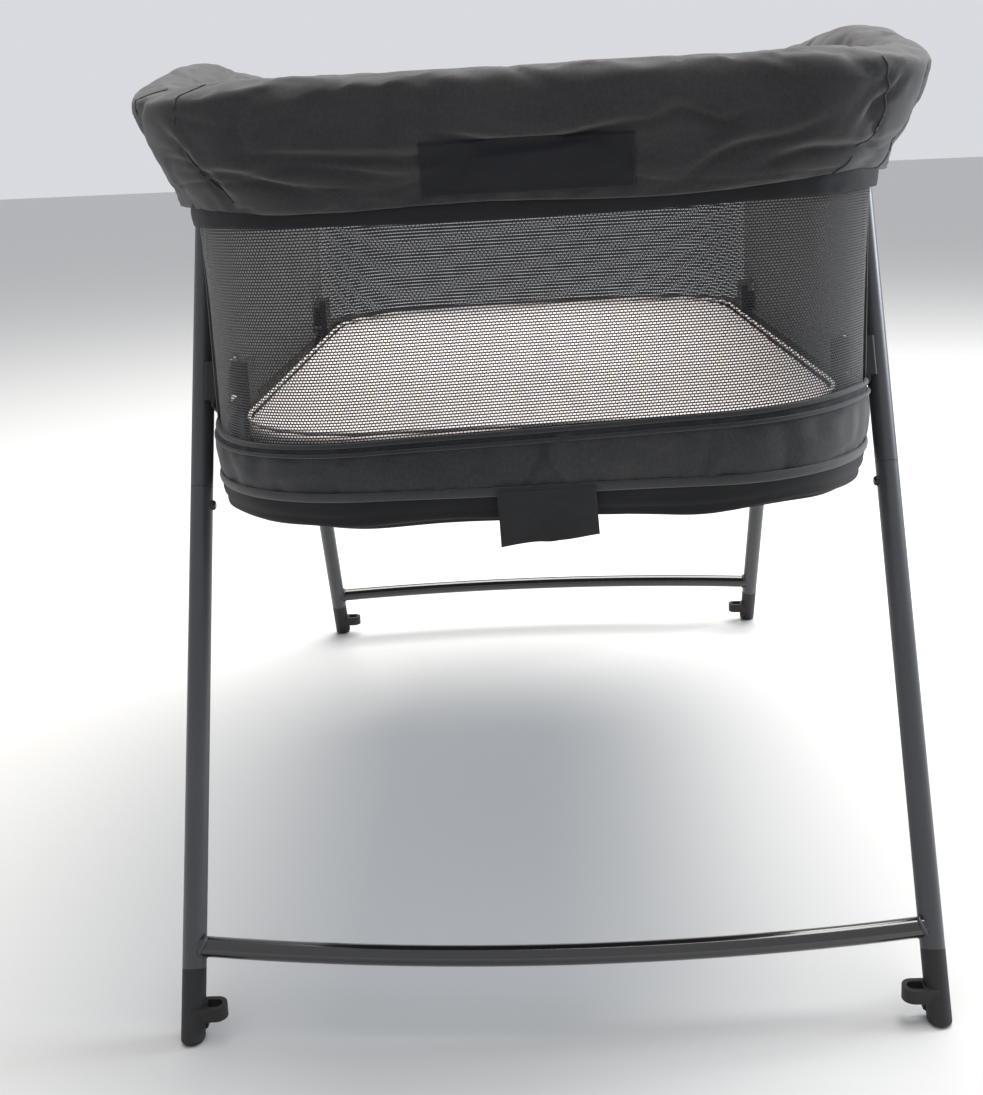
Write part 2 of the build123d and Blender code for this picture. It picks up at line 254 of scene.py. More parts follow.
def tube(name, points, radius, closed=False, sides=8, flat=1.0, level=False):
    """A tube along a line of points; flat below 1 makes it thinner across than it is high."""
    points = np.asarray(points, float)
    ahead = np.roll(points, -1, 0) - np.roll(points, 1, 0)
    if not closed:
        ahead[0] = points[1] - points[0]
        ahead[-1] = points[-1] - points[-2]
    ahead /= np.linalg.norm(ahead, axis=1)[:, None]
    guide = np.where(np.abs(ahead[:, 2:3]) > 0.9, [[1.0, 0, 0]], [[0, 0, 1.0]])
    across = np.cross(ahead, guide)
    across /= np.linalg.norm(across, axis=1)[:, None]
    up = np.cross(across, ahead)
    rows = []
    for turn in np.arange(sides + 1) * 2 * math.pi / sides:
        rows.append(points + radius * (flat * math.cos(turn) * across + math.sin(turn) * up))
    piece = cloth_grid(name, np.array(rows), closed, level)
    bm = bmesh.new()
    bm.from_mesh(piece.data)
    bmesh.ops.remove_doubles(bm, verts=bm.verts, dist=1e-6)
    if not closed:
        bmesh.ops.holes_fill(bm, edges=bm.edges, sides=sides + 1)
    bmesh.ops.recalc_face_normals(bm, faces=bm.faces)
    bm.to_mesh(piece.data)
    bm.free()
    return piece


def finish_piece(piece, material, body="basket", nodes=()):
    """The material, body and CAD nodes that a piece stands for."""
    piece.data.materials.clear()
    piece.data.materials.append(material)
    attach(piece, body)
    if nodes:
        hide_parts(*nodes)


# ---- materials ----

class Nodes:
    """A small helper for building a material's node tree."""

    def __init__(self, name):
        self.material = bpy.data.materials.new(name)
        self.material.use_nodes = True
        self.tree = self.material.node_tree
        self.shader = self.tree.nodes["Principled BSDF"]
        self.output = self.tree.nodes["Material Output"]

    def add(self, kind, inputs=None, **settings):
        node = self.tree.nodes.new(kind)
        for key, value in settings.items():
            setattr(node, key, value)
        for key, value in (inputs or {}).items():
            if isinstance(value, bpy.types.NodeSocket):
                self.tree.links.new(value, node.inputs[key])
            else:
                node.inputs[key].default_value = value
        return node

    def cloth_uv(self):
        return self.add("ShaderNodeUVMap", uv_map="cloth").outputs[0]

    def object_place(self):
        return self.add("ShaderNodeTexCoord").outputs["Object"]

    def math(self, operation, a, b=0.0, c=0.0, clamp=False):
        node = self.add("ShaderNodeMath", {0: a, 1: b, 2: c}, operation=operation, use_clamp=clamp)
        return node.outputs[0]

    def noise(self, vector, scale, detail=3.0, roughness=0.55):
        inputs = {"Vector": vector, "Scale": scale, "Detail": detail, "Roughness": roughness}
        return self.add("ShaderNodeTexNoise", inputs).outputs["Fac"]

    def stretched(self, vector, scale):
        return self.add("ShaderNodeMapping", {"Vector": vector, "Scale": scale}).outputs[0]

    def ramp(self, value, stops):
        node = self.add("ShaderNodeValToRGB", {"Fac": value})
        elements = node.color_ramp.elements
        while len(elements) < len(stops):
            elements.new(0.5)
        for element, (place, colour) in zip(elements, stops):
            element.position = place
            element.color = (*colour, 1)
        return node.outputs["Color"]

    def link(self, value, socket):
        self.tree.links.new(value, self.shader.inputs[socket])

    def bump(self, layers):
        """Bumps over one another: (height, strength, distance in metres)."""
        normal = None
        for height, strength, distance in layers:
            inputs = {"Height": height, "Strength": strength, "Distance": distance}
            node = self.add("ShaderNodeBump", inputs)
            if normal is not None:
                self.tree.links.new(normal, node.inputs["Normal"])
            normal = node.outputs[0]
        self.link(normal, "Normal")


def scaled(colour, factor):
    return tuple(min(1.0, c * factor) for c in colour)


def fabric(name, colour, thread, rough=0.85, sheen=0.25, spread=0.3, tint=(1, 1, 1), bump=0.5):
    """Woven cloth: threads over and under, slubs, a heather of lighter fibres and broad shading.
    The thread is its repeat in metres."""
    m = Nodes(name)
    uv = m.cloth_uv()
    place = m.object_place()
    split = m.add("ShaderNodeSeparateXYZ", {"Vector": uv})
    warp = m.math("SINE", m.math("MULTIPLY", split.outputs[0], 2 * math.pi / thread))
    weft = m.math("SINE", m.math("MULTIPLY", split.outputs[1], 2 * math.pi / thread))
    weave = m.math("MULTIPLY_ADD", m.math("MULTIPLY", warp, weft), 0.5, 0.5)
    slub = m.noise(m.stretched(uv, (60, 900, 1)), 1.0, 2)
    heather = m.noise(m.stretched(uv, (420, 260, 1)), 1.0, 3, 0.7)
    fibre = m.noise(m.stretched(uv, (1400, 1400, 1)), 1.0, 2)
    broad = m.noise(place, 7, 4)
    wash = m.noise(place, 30, 3)
    mix = m.math("MULTIPLY_ADD", broad, 0.5, m.math("MULTIPLY", wash, 0.3))
    mix = m.math("MULTIPLY_ADD", fibre, 0.2, mix)
    mix = m.math("MULTIPLY_ADD", heather, 0.55, m.math("SUBTRACT", mix, 0.32))
    mix = m.math("MULTIPLY_ADD", weave, 0.12, m.math("SUBTRACT", mix, 0.06))
    dark = scaled(colour, 1 - spread)
    light = tuple(c * (1 + spread) * t for c, t in zip(colour, tint))
    m.link(m.ramp(mix, [(0.25, dark), (0.5, colour), (0.78, light)]), "Base Color")
    m.link(m.math("MULTIPLY_ADD", fibre, 0.2, rough - 0.1, clamp=True), "Roughness")
    m.shader.inputs["Sheen Weight"].default_value = sheen
    m.shader.inputs["Sheen Roughness"].default_value = 0.5
    m.shader.inputs["Specular IOR Level"].default_value = 0.25
    m.bump([(wash, 0.15 * bump, 0.002), (slub, 0.3 * bump, 0.0003), (weave, 0.8 * bump, 0.00025)])
    return m


def knitted_mesh(name, colour, pitch, column, hole_width, hole_height, rough=0.7):
    """Open knitted mesh: rows of long see-through holes, each row offset by half a hole.
    Pitch and column are the spacing in metres; the hole sizes are shares of it."""
    m = fabric(name, colour, pitch / 4, rough, 0.3, 0.3)
    split = m.add("ShaderNodeSeparateXYZ", {"Vector": m.cloth_uv()})
    row_place = m.math("DIVIDE", split.outputs[1], pitch)
    row = m.math("FLOOR", row_place)
    shift = m.math("MULTIPLY", m.math("MODULO", row, 2.0), 0.5)
    across = m.math("FRACT", m.math("ADD", m.math("DIVIDE", split.outputs[0], column), shift))
    x = m.math("DIVIDE", m.math("SUBTRACT", across, 0.5), hole_width / 2)
    y = m.math("DIVIDE", m.math("SUBTRACT", m.math("FRACT", row_place), 0.5), hole_height / 2)
    reach_x = m.math("POWER", m.math("ABSOLUTE", x), 4.0)
    reach_y = m.math("POWER", m.math("ABSOLUTE", y), 2.0)
    solid = m.math("GREATER_THAN", m.math("ADD", reach_x, reach_y), 1.0)
    clear = m.add("ShaderNodeBsdfTransparent").outputs[0]
    mix = m.add("ShaderNodeMixShader", {"Fac": solid, 1: clear, 2: m.shader.outputs[0]})
    m.tree.links.new(mix.outputs[0], m.output.inputs["Surface"])
    return m


def paint(name, colour, rough, peel=0.15, coat=0.0):
    """Painted tube: a fine orange peel, faint scuffs and a little dust."""
    m = Nodes(name)
    place = m.object_place()
    peel_height = m.noise(place, 900, 2)
    cloud = m.noise(place, 12, 4)
    scuff = m.noise(m.stretched(place, (220, 220, 14)), 1.0, 4)
    mix = m.math("MULTIPLY_ADD", scuff, 0.35, m.math("MULTIPLY", cloud, 0.65))
    stops = [(0.3, scaled(colour, 0.85)), (0.55, colour), (0.75, scaled(colour, 1.25))]
    m.link(m.ramp(mix, stops), "Base Color")
    m.link(m.math("MULTIPLY_ADD", mix, 0.18, rough - 0.09, clamp=True), "Roughness")
    m.shader.inputs["Specular IOR Level"].default_value = 0.6
    m.shader.inputs["Coat Weight"].default_value = coat
    m.shader.inputs["Coat Roughness"].default_value = 0.08
    m.bump([(peel_height, peel, 0.0002), (scuff, 0.05, 0.0002)])
    return m


def plastic(name, colour, rough=0.5, grain=1.0):
    """Moulded plastic with a spark-eroded grain and lighter rubbed places."""
    m = Nodes(name)
    place = m.object_place()
    pits = m.noise(place, 1600, 3, 0.6)
    rub = m.noise(place, 40, 4)
    stops = [(0.35, scaled(colour, 0.85)), (0.6, colour), (0.8, scaled(colour, 1.5))]
    m.link(m.ramp(rub, stops), "Base Color")
    m.link(m.math("MULTIPLY_ADD", rub, 0.2, rough - 0.1, clamp=True), "Roughness")
    m.bump([(pits, 0.25 * grain, 0.0002)])
    return m


def metal(name, colour, rough=0.3):
    """Plated steel with fine turning marks."""
    m = Nodes(name)
    place = m.object_place()
    marks = m.noise(m.stretched(place, (2500, 300, 300)), 1.0, 3)
    m.shader.inputs["Metallic"].default_value = 1.0
    m.link(m.ramp(marks, [(0.3, scaled(colour, 0.8)), (0.7, colour)]), "Base Color")
    m.link(m.math("MULTIPLY_ADD", marks, 0.25, rough - 0.12, clamp=True), "Roughness")
    m.bump([(marks, 0.1, 0.0001)])
    return m


def board(name, colour):
    """Fibreboard: pressed fibres and flecks."""
    m = Nodes(name)
    place = m.object_place()
    fibre = m.noise(m.stretched(place, (300, 60, 300)), 1.0, 5)
    stops = [(0.3, scaled(colour, 0.7)), (0.6, colour), (0.8, scaled(colour, 1.2))]
    m.link(m.ramp(fibre, stops), "Base Color")
    m.link(m.math("MULTIPLY_ADD", fibre, 0.2, 0.7), "Roughness")
    m.bump([(fibre, 0.3, 0.0004)])
    return m


WARM = (1.1, 1.0, 0.9)      # the lighter fibres of the two grey weaves
M = {
    "leg_paint": paint("leg_powder_coat", (0.044, 0.047, 0.052), 0.38),
    "bar_paint": paint("bar_gloss_paint", (0.010, 0.010, 0.011), 0.16, 0.05, 0.6),
    "frame_paint": paint("frame_satin_paint", (0.020, 0.020, 0.022), 0.40),
    "steel": metal("plated_steel", (0.55, 0.55, 0.56)),
    "black_plastic": plastic("moulded_black", (0.010, 0.010, 0.0105), 0.58),
    "button_plastic": plastic("button_black", (0.012, 0.012, 0.013), 0.35, 0.4),
    "board": board("fibreboard", (0.26, 0.18, 0.11)),
    "collar_fabric": fabric("collar_weave", (0.030, 0.030, 0.032), 0.0009, spread=0.42, tint=WARM),
    "band_fabric": fabric("band_weave", (0.033, 0.034, 0.036), 0.0009, spread=0.45, tint=WARM),
    "patch_fabric": fabric("patch_weave", (0.0095, 0.010, 0.0135), 0.0007, 0.75, 0.1),
    "under_fabric": fabric("under_weave", (0.0085, 0.009, 0.0105), 0.0011, 0.75, 0.12),
    "tab_fabric": fabric("tab_weave", (0.017, 0.0175, 0.0185), 0.0008, 0.7, 0.2),
    "trim_fabric": fabric("trim_tape", (0.022, 0.023, 0.025), 0.0006, 0.7, 0.3),
    "binding_fabric": fabric("binding_tape", (0.036, 0.037, 0.038), 0.0008, 0.65, 0.35),
    "wall_fabric": fabric("wall_knit", (0.026, 0.027, 0.030), 0.0012, 0.8, 0.2),
    "mattress_fabric": fabric("mattress_cotton", (0.80, 0.74, 0.735), 0.0008, 0.85, 0.2, 0.06, bump=0.7),
    "mesh_fabric": knitted_mesh("open_mesh", (0.020, 0.021, 0.024), 0.00215, 0.0028, 0.84, 0.60),
}
for subpart in frame["record"]["subparts"]:
    surface = M.get(subpart["material_slot"])
    if surface is None:
        continue
    node = frame["nodes"][subpart["node"]]
    node.data.materials.clear()
    node.data.materials.append(surface.material)


# ---- collar ----

COLLAR_HEM = COLLAR_LOW.z + 12 * MM         # foot of the outer flap, above the tape
COLLAR_TOP = COLLAR_HIGH.z                  # along the sides
COLLAR_END_TOP = COLLAR_HIGH.z - 28 * MM    # across the ends
LEG_FACE = COLLAR_HIGH.x - 4.5 * MM         # the flap passes outside the legs here
FLAP_HEM_X, FLAP_TOP_X = 0.2705, 0.2985     # half widths of the outer flap
FLAP_CORNER = 0.114
INNER_X, INNER_Y, INNER_CORNER = 0.249, 0.404, 0.090
INNER_FOOT = 0.673
OUTER_ROWS, CROWN_ROWS, INNER_ROWS = 46, 22, 14
CROWN = 21 * MM                             # height of the padded crown above the flaps
END_HALF = 0.27
CREASE_WIDTH = 0.0042
# Creases on the near face of the flap: middle x and z, half length, rise along it, depth in mm
NEAR_CREASES = [
    (-0.100, 0.673, 0.105, 0.00, 4.2), (0.000, 0.680, 0.075, 0.03, 4.5),
    (-0.190, 0.658, 0.050, -0.16, 3.0), (0.115, 0.688, 0.028, -0.10, 2.8),
    (0.160, 0.668, 0.040, 0.30, 3.0), (-0.150, 0.664, 0.060, -0.05, 2.2),
    (0.205, 0.658, 0.050, 0.12, 2.6), (-0.235, 0.668, 0.018, -1.20, 3.2),
    (0.243, 0.690, 0.020, 1.10, 2.6),
]


def collar_top(y):
    """Height of the collar's top at each y: lower across the ends."""
    return COLLAR_TOP - (COLLAR_TOP - COLLAR_END_TOP) * smooth(0.20, 0.425, np.abs(y))


def end_middle(ring):
    """1 at the middle of each end, falling to 0 at its corners; 0 along the sides."""
    return np.cos(np.clip(ring[:, 0] / END_HALF, -1, 1) * math.pi / 2) * (np.abs(ring[:, 1]) > 0.35)


def collar_grid():
    """Rows from the outer hem up the flare, over the padded crown and down the inner flap."""
    rows = []
    for step in range(OUTER_ROWS + 1):
        f = step / OUTER_ROWS
        ease = 0.75 * f + 0.25 * math.sin(f * math.pi / 2)
        tuck = 5 * MM * (1 - f) ** 6
        half_x = FLAP_HEM_X + (FLAP_TOP_X - FLAP_HEM_X) * ease - tuck
        half_y = WALL_HIGH.y + 9 * MM + (COLLAR_HIGH.y - WALL_HIGH.y - 11 * MM) * ease - tuck
        ring = rounded(half_x, half_y, FLAP_CORNER - 0.010 * f)
        over_legs = 1 - smooth(0.195, 0.335, np.abs(ring[:, 1]))
        grow = np.maximum(0, LEG_FACE + 2.5 * MM * math.sin(math.pi * f) - half_x) * over_legs
        ring[:, 0] += np.sign(ring[:, 0]) * grow * smooth(0.20, 0.24, np.abs(ring[:, 0]))
        base = collar_top(ring[:, 1]) - CROWN
        wander = 2 * MM * np.sin(ring[:, 0] * 23 + ring[:, 1] * 9)
        hem = COLLAR_HEM + 3 * MM - 6 * MM * end_middle(ring) + wander
        rows.append(np.column_stack([ring, hem + (base - hem) * f]))
    edge = rows[-1]
    inner = rounded(INNER_X, INNER_Y, INNER_CORNER)
    for step in range(1, CROWN_ROWS + 1):
        turn = math.pi * step / CROWN_ROWS
        across = 0.5 - 0.5 * math.cos(turn)
        flat = edge[:, :2] * (1 - across) + inner * across
        top = collar_top(edge[:, 1]) - CROWN
        rows.append(np.column_stack([flat, top + CROWN * 0.95 * math.sin(turn) ** 0.7]))
    last = rows[-1]
    for step in range(1, INNER_ROWS + 1):
        f = step / INNER_ROWS
        ring = inner + outward(inner) * (-1.5 * MM * math.sin(math.pi * f))
        rows.append(np.column_stack([ring, last[:, 2] + (INNER_FOOT - last[:, 2]) * f]))
    return np.array(rows)


def creases(points, scale, seed, width):
    """Thin wandering valleys: -1 in the crease, 0 away from it."""
    return -np.exp(-np.abs(ripple(points, scale, seed)) / width)


def crease_profile(off, ridge, valley):
    """Across a crease: a sharp valley with a soft ridge beside it."""
    return ridge * np.exp(-((off - 2) / 1.5) ** 2) - valley * np.exp(-off ** 2)


def collar_wrinkles(points):
    """Long creases low on the outer flap, slack folds at the corners and soft dents on the crown."""
    rows = np.arange(len(points))[:, None]
    x, y, z = np.moveaxis(points, -1, 0)
    low = np.exp(-((rows - OUTER_ROWS * 0.30) / (OUTER_ROWS * 0.30)) ** 2)
    crown = np.exp(-((rows - OUTER_ROWS - CROWN_ROWS / 2) / (CROWN_ROWS * 0.55)) ** 2)
    corner = smooth(0.17, 0.25, np.abs(x)) * smooth(0.27, 0.36, np.abs(y))
    sides_only = 0.35 + 0.65 * smooth(0.20, 0.26, np.abs(x))
    outer = smooth(0, 3, rows) * (1 - smooth(OUTER_ROWS - 4, OUTER_ROWS + 4, rows))
    fold = 3.4 * ripple(points, (4, 4, 30), 3.1) + 3.2 * creases(points, (5, 5, 34), 8.7, 0.08)
    slack = 3.2 * ripple(points, (24, 24, 9), 5.5) + 2.6 * creases(points, (20, 20, 16), 2.2, 0.08)
    dents = 2.2 * ripple(points, (11, 11, 20), 1.7) + 2.2 * creases(points, (10, 10, 12), 6.6, 0.06)
    fine = 0.8 * ripple(points, (40, 40, 80), 9.9)
    amount = low * outer * fold + corner * outer * slack + crown * (dents * sides_only) + fine
    near_face = (y < -0.38) * outer
    for middle_x, middle_z, half, rise, depth in NEAR_CREASES:
        along = (x - middle_x) / half
        wander = 0.003 * np.sin(along * 3 + depth)
        off = (z - middle_z - rise * (x - middle_x) - wander) / CREASE_WIDTH
        amount += near_face * depth * np.exp(-along ** 4) * crease_profile(off, 0.9, 1.3)
    return amount * MM


def push(points, amount, closed=True):
    """Moves grid points along their normals."""
    if closed:
        along = np.roll(points, -1, 1) - np.roll(points, 1, 1)
    else:
        along = np.gradient(points, axis=1)
    up = np.gradient(points, axis=0)
    normal = np.cross(along, up)
    normal /= np.maximum(np.linalg.norm(normal, axis=2), 1e-12)[..., None]
    return points + normal * amount[..., None]


def surface_of(piece):
    """A search tree over a piece's faces."""
    bpy.context.view_layer.update()
    return BVHTree.FromObject(piece, bpy.context.evaluated_depsgraph_get())


def make_collar():
    points = collar_grid()
    points = push(points, collar_wrinkles(points))
    collar = cloth_grid("collar_padded", points, True)
    pinned = np.zeros(points.shape[:2], bool)
    pinned[[0, 1, -1]] = True
    pinned[OUTER_ROWS + CROWN_ROWS // 2] = True
    settle(collar, pinned, 0.5, 0.014, cap=0.003)
    thicken(collar, 2.6 * MM)
    finish_piece(collar, M["collar_fabric"].material,
                 nodes=("collar_near", "collar_far", "collar_left", "collar_right"))
    return collar, points


def corner_seams(collar, points):
    """Two upright seams with a raised welt at each corner of the collar."""
    tree = surface_of(collar)
    count, half_turn = points.shape[1], 2 * QUARTER
    welts = []
    for first in (N_END + 10, N_END + 21):      # columns part of the way round the corner
        for corner in range(4):
            line = []
            for row in range(2, OUTER_ROWS + 11):
                bow = 2.5 * math.sin(math.pi * min(row / OUTER_ROWS, 1.0))
                place = first + bow if corner % 2 == 0 else half_turn - first - bow
                col = (place + (corner // 2) * half_turn) % count
                low, part = int(col) % count, col % 1
                point = points[row, low] * (1 - part) + points[row, (low + 1) % count] * part
                line.append(list(tree.find_nearest(Vector(point))[0]))
            welts.append(tube(f"collar_seam_{len(welts)}", line, 1.0 * MM, sides=6, level=True))
    seam = join("collar_seams", welts)
    finish_piece(seam, M["collar_fabric"].material)


def make_tape():
    """The tape that closes the collar to the walls, slightly gathered. Its dark cloth is partly painted
    shade, for the shadow under the collar's hem.
    """
    rows = []
    for step in range(9):
        f = step / 8
        proud = 0.6 * MM + 1.0 * MM * math.sin(math.pi * f)
        ring = rounded(WALL_HIGH.x + proud, WALL_HIGH.y + proud, 0.106)
        low = COLLAR_HEM - 9 * MM - 5 * MM * end_middle(ring)
        rows.append(np.column_stack([ring, low + 20 * MM * f]))
    points = np.array(rows)
    legs = (np.abs(points[..., 0]) > 0.2) & (np.abs(points[..., 1]) < 0.32)
    gather = ripple(points, (60, 60, 60), 4.0) * 0.7 + creases(points, (30, 30, 70), 1.0, 0.1) * 0.7
    tape = cloth_grid("collar_tape_painted_shade", push(points, np.where(legs, 0, gather) * MM), True)
    thicken(tape, 0.9 * MM)
    # Painted shade: the tape takes the darkest cloth so that it reads as the shadow under the collar's
    # hem.
    finish_piece(tape, M["patch_fabric"].material)


def join(name, pieces):
    """One mesh from several."""
    bm = bmesh.new()
    for piece in pieces:
        bm.from_mesh(piece.data)
        bpy.data.objects.remove(piece)
    mesh = bpy.data.meshes.new(name)
    bm.to_mesh(mesh)
    bm.free()
    mesh.shade_smooth()
    piece = bpy.data.objects.new(name, mesh)
    bpy.context.scene.collection.objects.link(piece)
    return piece


# ---- walls ----

def wall_panel(low_line, high_line, rows, seed, bow):
    """A panel stretched from its line at the base to its line under the collar, bowed inward a little."""
    rise = np.linspace(0, 1, rows + 1)[:, None, None]
    points = low_line[None] * (1 - rise) + high_line[None] * rise
    sag = np.sin(math.pi * rise[..., 0])
    edge = np.linspace(0, 1, points.shape[1])
    free = np.sin(math.pi * edge)[None] ** 0.3
    amount = sag * free * (1.4 * MM * ripple(points, (9, 9, 16), seed) - bow)
    return push(points, amount, closed=False)


def end_line(corner, end, z):
    """The line of an end panel at one height, from one side round the end to the other side."""
    half_x, half_y = WALL_HIGH.x - 1 * MM, WALL_HIGH.y - 1 * MM
    ring = rounded(half_x, half_y, corner)
    near = np.roll(ring, QUARTER, axis=0)[:2 * QUARTER + 1]
    shares = lengths(near) - lengths(near)[-1] / 2
    reach = half_x - corner + corner * math.pi / 2 + (half_y - corner - SPLIT_Y) + 4 * MM
    places = np.linspace(-reach, reach, 2 * (N_END + N_CORNER) + 1)
    line = np.column_stack([np.interp(places, shares, near[:, k]) for k in (0, 1)])
    line = line if end < 0 else -line
    return np.column_stack([line, np.full(len(line), z)])


def make_walls():
    for name, end in ENDS.items():
        foot, top = BAND_HIGH.z - 6 * MM, WALL_HIGH.z + 6 * MM
        low_line = end_line(BASE_CORNER - 4 * MM, end, foot)
        panel = wall_panel(low_line, end_line(WALL_TOP_CORNER, end, top), 44, 2.2 + end, 3.5 * MM)
        piece = cloth_grid(f"mesh_window_{name}", panel, False)
        thicken(piece, 0.5 * MM)
        finish_piece(piece, M["mesh_fabric"].material, nodes=(f"mesh_panel_{name}",))


# The openings in the side walls for the base hooks: half width, corner radius and top
SLIT_HALF, SLIT_ROUND, SLIT_TOP = 0.0215, 0.009, HOOK_HIGH.z - 0.001


def side_panel(side):
    """A side wall: a sheet with two rounded openings for the base hooks."""
    low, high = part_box(f"side_wall_{side}")
    sign = SIDES[side]
    cols, rows = 150, 54
    grid = np.zeros((rows + 1, cols + 1, 3))
    grid[..., 0] = sign * (WALL_HIGH.x - 1 * MM)
    grid[..., 1] = np.linspace(low.y, high.y, cols + 1) * sign
    grid[..., 2] = np.linspace(BAND_HIGH.z - 6 * MM, WALL_HIGH.z, rows + 1)[:, None]
    sag_up = np.sin(math.pi * np.arange(rows + 1) / rows)[:, None]
    sag = sag_up * np.sin(math.pi * np.arange(cols + 1) / cols) ** 0.3
    depth = -2.0 * MM + 2.2 * MM * ripple(grid, (9, 9, 13), 4.4 + sign)
    grid = push(grid, sag * depth, closed=False)
    piece = cloth_grid(f"side_fabric_{side}", grid, False)
    bm = bmesh.new()
    bm.from_mesh(piece.data)
    gone = []
    for face in bm.faces:
        c = face.calc_center_median()
        across = max(0, abs(abs(c.y) - HOOK_Y) - SLIT_HALF + SLIT_ROUND)
        above = max(0, c.z - SLIT_TOP + SLIT_ROUND)
        if math.hypot(across, above) < SLIT_ROUND:
            gone.append(face)
    bmesh.ops.delete(bm, geom=gone, context="FACES")
    bm.to_mesh(piece.data)
    bm.free()
    return piece


def make_side_walls():
    """The side walls, the binding round their hook openings and the strips down their ends."""
    edges = []
    for side, sign in SIDES.items():
        piece = side_panel(side)
        thicken(piece, 0.9 * MM)
        finish_piece(piece, M["wall_fabric"].material, nodes=(f"side_wall_{side}",))
        x = sign * (WALL_HIGH.x - 1.4 * MM)
        for end in (-1, 1):
            arch = []
            for turn in np.linspace(0, math.pi, 25):
                over = math.copysign(abs(math.cos(turn)) ** 0.6, math.cos(turn))
                up = SLIT_TOP - SLIT_ROUND * (1 - math.sin(turn) ** 0.6)
                arch.append((x, end * HOOK_Y + SLIT_HALF * over, up))
            arch = [(x, arch[0][1], BAND_HIGH.z)] + arch + [(x, arch[-1][1], BAND_HIGH.z)]
            edges.append(tube(f"edge_{len(edges)}", arch, 2.2 * MM, sides=6, flat=0.8))
            heights = np.linspace(BAND_HIGH.z - 4 * MM, WALL_HIGH.z, 20)
            post = [(x + sign * 0.8 * MM, end * (SPLIT_Y + 1 * MM), z) for z in heights]
            edges.append(tube(f"edge_{len(edges)}", post, 1.3 * MM, sides=8, flat=3.2))
    piece = join("wall_bindings", edges)
    finish_piece(piece, M["binding_fabric"].material)


# ---- base ----

BAND_ROWS = 22
# Creases of the band at the middle of each end: lean, place along x, depth in mm
BAND_CREASES = [
    (0.55, -0.016, 2.6), (-0.45, 0.016, 2.4), (0.15, 0.000, 1.6),
    (0.30, 0.115, 1.2), (-0.35, -0.150, 1.2),
]


def band_grid():
    """The padded band: out from the upper seam, round, and in to the lower seam."""
    rows = []
    height = BAND_HIGH.z - BAND_LOW.z
    for step in range(BAND_ROWS + 1):
        f = step / BAND_ROWS
        puff = math.sin(math.pi * f) ** 0.6
        offset = -4 * MM + 7.5 * MM * puff
        half_x, half_y = BAND_HIGH.x + offset - 2 * MM, BAND_HIGH.y + offset - 1 * MM
        ring = rounded(half_x, half_y, BASE_CORNER + offset)
        rows.append(np.column_stack([ring, np.full(len(ring), BAND_LOW.z + height * f)]))
    return np.array(rows)


def make_band():
    points = band_grid()
    rows = np.arange(len(points))[:, None] / (len(points) - 1)
    inside = np.sin(math.pi * rows)
    crease = np.zeros(points.shape[:2])
    for end in (-1, 1):
        near = (np.sign(points[..., 1]) == end) & (np.abs(points[..., 1]) > 0.40)
        for lean, place, depth in BAND_CREASES:
            line = place + lean * (points[..., 2] - BAND_LOW.z)
            off = (points[..., 0] * -end - line) / CREASE_WIDTH
            crease += near * depth * crease_profile(off, 0.7, 1.2)
    pucker = 0.7 * ripple(points, (60, 60, 14), 2.0) * (1 - inside * 0.4)
    pucker += 1.2 * ripple(points, (9, 9, 20), 6.0)
    pucker += 0.5 * creases(points, (12, 12, 12), 3.3, 0.08)
    points = push(points, inside * (crease + pucker) * MM)
    band = cloth_grid("base_band_padded", points, True)
    pinned = np.zeros(points.shape[:2], bool)
    pinned[[0, 1, -2, -1]] = True
    settle(band, pinned, 1.5, 0.010, cap=0.0025)
    thicken(band, 5 * MM)
    finish_piece(band, M["band_fabric"].material, nodes=("base_band",))


def ring_line(half_x, half_y, corner, z, wobble, seed):
    """A closed outline at one height, rising and falling a little by its wobble."""
    ring = rounded(half_x, half_y, corner)
    line = np.column_stack([ring, np.full(len(ring), z)])
    line[:, 2] += wobble * ripple(line, (8, 8, 1), seed)
    return line


def make_trims():
    """Two piping cords at the top of the band, and the binding strip at its foot."""
    cords = []
    for drop, radius, proud in ((1.0, 1.9, -1.0), (8.5, 1.6, 0.6)):
        half_x, half_y = BAND_HIGH.x + (proud - 0.5) * MM, BAND_HIGH.y + (proud + 0.5) * MM
        line = ring_line(half_x, half_y, BASE_CORNER, BAND_HIGH.z - drop * MM, 0.8 * MM, drop)
        cords.append(tube(f"cord_{drop}", line, radius * MM, closed=True, sides=10))
    piping = join("band_piping_cords", cords)
    finish_piece(piping, M["trim_fabric"].material, nodes=("band_piping",))
    half_x, half_y = BAND_HIGH.x - 1.2 * MM, BAND_HIGH.y - 0.2 * MM
    line = ring_line(half_x, half_y, BASE_CORNER, BAND_LOW.z + 2.0 * MM, 1.0 * MM, 4.0)
    strip = tube("band_binding_strip", line, 3.6 * MM, closed=True, sides=10, flat=0.45)
    finish_piece(strip, M["binding_fabric"].material, nodes=("band_binding",))


def shrunk(ring, share, spine_y):
    """An outline drawn in towards a line down its middle, which ends at spine_y each way."""
    spine = np.column_stack([ring[:, 0] * 0, np.clip(ring[:, 1], -spine_y, spine_y)])
    return spine + (ring - spine) * share


